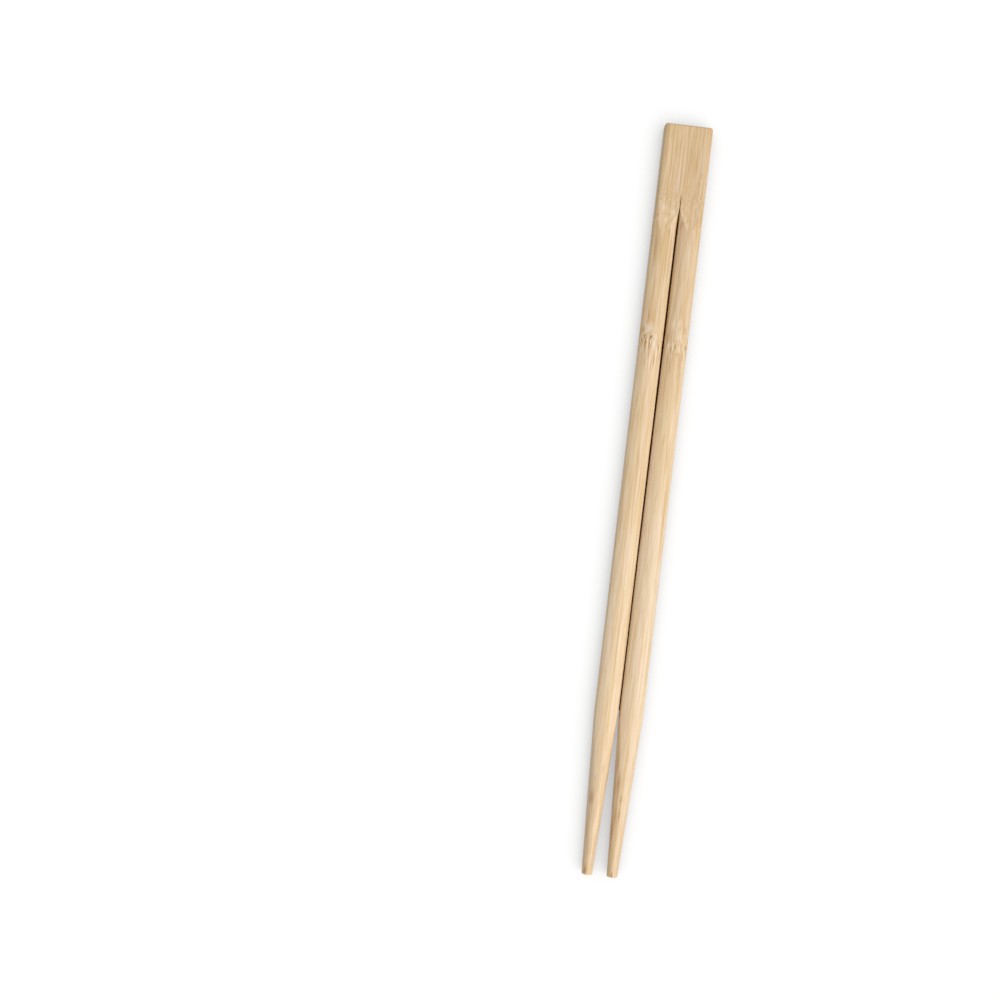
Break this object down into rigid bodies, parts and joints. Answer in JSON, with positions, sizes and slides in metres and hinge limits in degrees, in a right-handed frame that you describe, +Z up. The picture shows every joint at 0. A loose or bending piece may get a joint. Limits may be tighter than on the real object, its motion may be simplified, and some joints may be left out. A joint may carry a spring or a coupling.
{
  "type": "bamboo chopsticks",
  "caption": "Joined bamboo chopsticks: crowned sticks parted by a thin slit below a whole flat head, tapering to blunt round tips, pulled apart before eating.",
  "frame": {"origin": "on the underside, at the middle of the length and of the width", "axes": "+Y along the sticks from the tips to the head, +X across the two sticks, +Z up out of the surface that they lie on"},
  "size_m": [0.0136, 0.21, 0.005],
  "materials": {
    "bamboo": "pale bamboo, machined along the fibres and left bare, smooth and faintly satin"
  },
  "bodies": {
    "root": {"chopstick_pair": "bamboo"}
  },
  "joints": []
}
